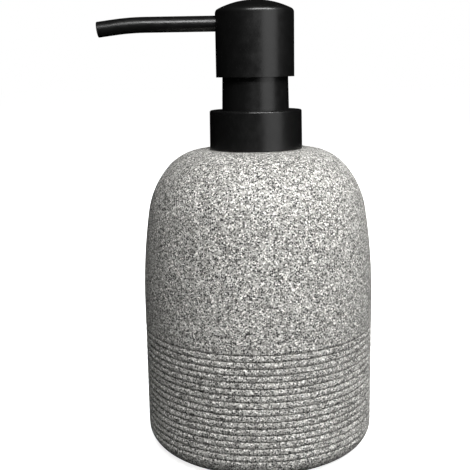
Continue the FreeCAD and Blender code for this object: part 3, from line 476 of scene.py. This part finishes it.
def makeBottleBody(size, tree, finish):
    outside = flankPoints(size, 0.0, size["footRound"], size["foot"], size["height"], 1.0)
    inside = flankPoints(size, size["wall"], size["footRound"] - size["wall"], size["floor"],
                         size["height"] - size["wall"], 0.0)
    lip, flat = size["mouthRound"], size["flatSteps"]
    section = [(size["padRecess"], size["foot"], 0.0)] + outside
    section += linePoints(outside[-1], (size["mouth"] + lip, size["height"]), flat, 0.0)
    section += arcPoints((size["mouth"] + lip, size["height"] - lip), lip, 90, 180, size["lipSteps"],
                         0.0)[1:]
    section += linePoints(section[-1], (size["mouth"], size["throatBottom"]), flat, 0.0)
    section += [(size["throat"], size["throatBottom"], 0.0), (size["throat"], inside[-1][1], 0.0)]
    section += inside[::-1]
    section += [(size["hole"], size["floor"], 0.0), (size["hole"], size["ledgeTop"], 0.0),
                (size["ledge"], size["ledgeTop"], 0.0), (size["ledge"], size["recessTop"], 0.0),
                (size["padRecess"], size["recessTop"], 0.0)]
    values = {"Sides": size["sides"], "Groove Count": size["grooves"],
              "Groove Pitch": size["groovePitch"] * mm, "Lowest Groove": size["lowestGroove"] * mm,
              "Groove Depth": size["grooveDepth"] * mm, "Rib Fullness": size["ribFullness"],
              "Wobble": size["wobble"] * mm, "Wobble Length": size["wobbleLength"] * mm}
    piece = turnPiece("graniteBottle", section, tree, finish, values)
    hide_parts("bottle_body")
    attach(piece, "bottle")
    return piece


footPad = {"radius": 30.8, "thickness": 1.6, "edgeRound": 0.45, "sides": 96, "flatSteps": 8,
           "edgeSteps": 5}


def makeFootPad(size, tree, finish):
    # die-cut foam: its cut edge rolls over a little at both faces
    low, high, edge = 0.0, size["thickness"], size["edgeRound"]
    rim = size["radius"] - edge
    flat, bend = size["flatSteps"], size["edgeSteps"]
    section = [(0.0, low, 0.0)] + linePoints((0.0, low), (rim, low), flat, 0.0)
    section += arcPoints((rim, low + edge), edge, -90, 0, bend, 0.0)[1:]
    section += arcPoints((rim, high - edge), edge, 0, 90, bend, 0.0)
    section += linePoints((rim, high), (0.0, high), flat, 0.0)
    piece = turnPiece("foamFootPad", section, tree, finish, {"Sides": size["sides"]})
    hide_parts("base_pad")
    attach(piece, "bottle")
    return piece


spring = {"turns": 8.0, "wireRadius": 0.45, "wireSides": 14, "stepsPerTurn": 36}


def makeSpring(size, finish):
    low, high = (Vector(corner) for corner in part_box("return_spring"))
    wire = size["wireRadius"] * mm
    mesh = growMesh("returnSpring", bpy.data.meshes.new("returnSpringStart"), makeCoilTree(),
                    {"Turns": size["turns"], "Coil Radius": (high.x - low.x) / 2 - wire,
                     "Rise": high.z - low.z - 2 * wire, "Wire Radius": wire,
                     "Wire Sides": size["wireSides"], "Steps Per Turn": size["stepsPerTurn"],
                     "Finish": finish})
    mesh.transform(Matrix.Translation((0.0, 0.0, low.z + wire)))
    piece = bpy.data.objects.new("returnSpring", mesh)
    bpy.context.scene.collection.objects.link(piece)
    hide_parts("return_spring")
    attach(piece, "pump_core")
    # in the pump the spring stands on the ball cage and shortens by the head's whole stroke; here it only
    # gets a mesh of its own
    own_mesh(piece)
    return piece


# A plain pale table with softboxes round it

studio = {
    "floorRadius": 6.0, "floorTone": "#f4f4f2", "floorRoughness": 0.9,
    "nearGlow": 0.8, "farGlow": 1.0,    # the table's own glow, under the piece and away from it
    "glowStart": 0.15, "glowEnd": 0.6,  # metres from the middle
    "aim": (0.0, 0.0, 0.09),
    # degrees round from the front towards the right, degrees up, metres away, width and height in
    # metres, watts, and whether the black plastic mirrors it
    "softboxes": {
        "keySoftbox": (22.0, 44.0, 0.55, 0.58, 0.15, 4.8, True),
        "sideSoftbox": (42.0, 10.0, 0.6, 0.5, 0.38, 0.8, True),
        "fillSoftbox": (-66.0, 58.0, 1.0, 0.7, 0.7, 1.3, False),
        "rightSoftbox": (82.0, 8.0, 1.0, 0.7, 0.7, 2.6, False),
        "footSoftbox": (-25.0, -8.0, 0.4, 0.16, 0.16, 0.32, False),
        "backSoftbox": (165.0, 30.0, 1.1, 0.8, 0.8, 6.5, False),
        "topSoftbox": (20.0, 78.0, 0.6, 0.5, 0.5, 0.9, False),
    },
}


def addSoftbox(name, aim, turn, rise, distance, width, height, power, mirrored):
    turnRad, riseRad = math.radians(turn), math.radians(rise)
    way = Vector((math.sin(turnRad) * math.cos(riseRad), -math.cos(turnRad) * math.cos(riseRad),
                  math.sin(riseRad)))
    data = bpy.data.lights.new(name, "AREA")
    data.shape = "RECTANGLE"
    data.size, data.size_y = width, height
    data.energy = power
    lamp = bpy.data.objects.new(name, data)
    lamp.location = aim + way * distance
    lamp.rotation_euler = way.to_track_quat("Z", "Y").to_euler()
    lamp.visible_glossy = mirrored
    bpy.context.scene.collection.objects.link(lamp)


def makeStudio(size):
    mesh = bpy.data.meshes.new("studioFloor")
    sheet = bmesh.new()
    bmesh.ops.create_circle(sheet, cap_ends=True, segments=96, radius=size["floorRadius"])
    sheet.to_mesh(mesh)
    sheet.free()
    floor = bpy.data.objects.new("studioFloor", mesh)
    bpy.context.scene.collection.objects.link(floor)
    # painted board: flat and pale, and it glows a little more further out, where less of the
    # softboxes' light reaches it
    finish, tree, shader = newFinish("PaintedStudioFloor", Base_Color=linear(size["floorTone"]),
                                     Roughness=size["floorRoughness"],
                                     Emission_Color=linear("#ffffff"))
    place = addNode(tree, "ShaderNodeTexCoord").outputs["Object"]
    far = addNode(tree, "ShaderNodeVectorMath", {0: place}, operation="LENGTH")
    glow = addNode(tree, "ShaderNodeMapRange", {"Value": far.outputs["Value"],
                                                "From Min": size["glowStart"],
                                                "From Max": size["glowEnd"],
                                                "To Min": size["nearGlow"], "To Max": size["farGlow"]})
    tree.links.new(glow.outputs["Result"], shader.inputs["Emission Strength"])
    mesh.materials.append(finish)
    floor.visible_glossy = False  # black flags keep the table out of the glossy plastic
    floor.visible_diffuse = False

    for name, values in size["softboxes"].items():
        addSoftbox(name, Vector(size["aim"]), *values)

    world = bpy.data.worlds.new("studioWorld")
    bpy.context.scene.world = world
    world.use_nodes = True
    world.node_tree.nodes["Background"].inputs["Color"].default_value = linear("#ffffff")
    world.node_tree.nodes["Background"].inputs["Strength"].default_value = 1.0
    world.cycles_visibility.diffuse = False  # a white backdrop that lights nothing
    world.cycles_visibility.glossy = False
    bpy.context.scene.view_settings.view_transform = "Standard"


view = {"lens": 65.1, "sensorWidth": 36.0, "place": (-0.0083, -0.3128, 0.1398), "down": 10.93,
        "roll": -1.0}


def makeCamera(size):
    data = bpy.data.cameras.new("studioCamera")
    data.sensor_width = size["sensorWidth"]
    data.lens = size["lens"]
    camera = bpy.data.objects.new("studioCamera", data)
    tilt = Matrix.Rotation(math.radians(90 - size["down"]), 4, "X")
    roll = Matrix.Rotation(math.radians(size["roll"]), 4, "Z")
    camera.matrix_world = Matrix.Translation(size["place"]) @ tilt @ roll
    bpy.context.scene.collection.objects.link(camera)
    bpy.context.scene.camera = camera


makeCamera(view)
makeStudio(studio)
print("studio ready")

finishes = makeFinishes()
slotOf = {
    "base_disc": "stone_resin", "neck_bush": "black_pp", "neck_seal_ring": "seal_rubber",
    "pump_housing": "natural_pp", "bottle_gasket": "white_pe", "guide_sleeve": "black_abs",
    "ball_cage": "natural_pp", "dip_tube": "natural_pp", "return_spring": "steel",
    "screw_cap": "black_pp", "collar_cover": "black_abs", "stem": "natural_pp",
    "piston_cup": "white_pe", "piston_retainer": "natural_pp", "head_shell": "black_abs",
    "head_insert": "black_pp", "spout_tube": "black_abs", "inlet_ball": "steel",
    "outlet_ball": "steel", "bottle_body": "stone_resin", "base_pad": "eva_foam",
}
for name, slot in slotOf.items():
    for item in nodes[name].material_slots:
        item.material = finishes[slot]
print("finishes on", len(slotOf), "carried-over parts")

turning = makeTurningTree()
graniteBottle = makeBottleBody(bottle, turning, finishes["stone_resin"])
print("bottle turned,", len(graniteBottle.data.polygons), "faces")
foamFootPad = makeFootPad(footPad, turning, finishes["eva_foam"])
print("foot pad cut,", len(foamFootPad.data.polygons), "faces")
returnSpring = makeSpring(spring, finishes["steel"])
print("spring wound,", len(returnSpring.data.polygons), "faces")
